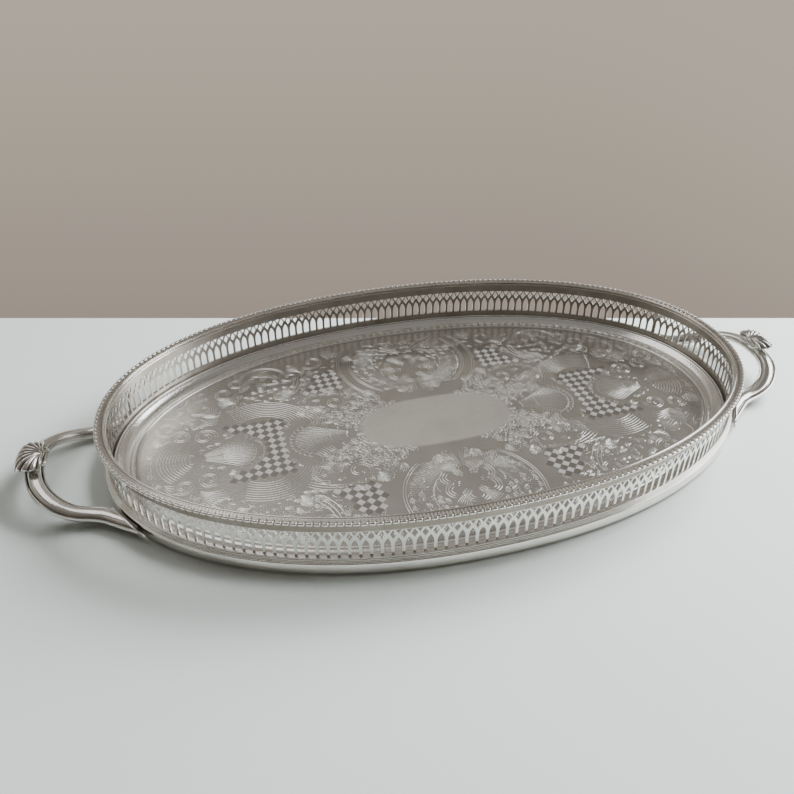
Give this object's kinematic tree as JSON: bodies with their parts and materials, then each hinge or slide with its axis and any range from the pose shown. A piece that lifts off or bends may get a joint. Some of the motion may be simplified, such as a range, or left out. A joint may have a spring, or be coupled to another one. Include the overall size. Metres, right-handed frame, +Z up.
{
  "type": "serving tray",
  "caption": "Oval silver-plated serving tray with a chased flat field, a pierced gallery of pointed arches, a beaded rim and two cast end handles crowned with shells.",
  "frame": {"origin": "centre of the oval, on the surface that the tray stands on", "axes": "+X along the length of the oval, from handle to handle; +Y across it; +Z up"},
  "size_m": [0.6052, 0.3012, 0.0434],
  "materials": {
    "chased_silver": "hand-chased silver plate, grey in the cuts, worn bright on the high parts",
    "pierced_silver": "bright silver plate, saw-pierced and lightly polished",
    "moulding_silver": "stamped silver-plated moulding, polished on the high parts, dark in the grooves",
    "cast_silver": "cast and silver-plated, soft polish with grey in the flutes"
  },
  "bodies": {
    "root": {"ground_plate": "chased_silver", "gallery_front": "pierced_silver", "gallery_rear": "pierced_silver", "gallery_left_end": "pierced_silver", "gallery_right_end": "pierced_silver", "border_front": "moulding_silver", "border_rear": "moulding_silver", "bead_wire_front": "moulding_silver", "bead_wire_rear": "moulding_silver", "inner_wire_front": "moulding_silver", "inner_wire_rear": "moulding_silver", "reed_moulding_front": "moulding_silver", "reed_moulding_rear": "moulding_silver", "skirt_front": "moulding_silver", "skirt_rear": "moulding_silver", "handle_left": "cast_silver", "handle_right": "cast_silver", "shell_left": "cast_silver", "shell_right": "cast_silver", "pad_left_front": "cast_silver", "pad_left_rear": "cast_silver", "pad_right_front": "cast_silver", "pad_right_rear": "cast_silver"}
  },
  "joints": []
}
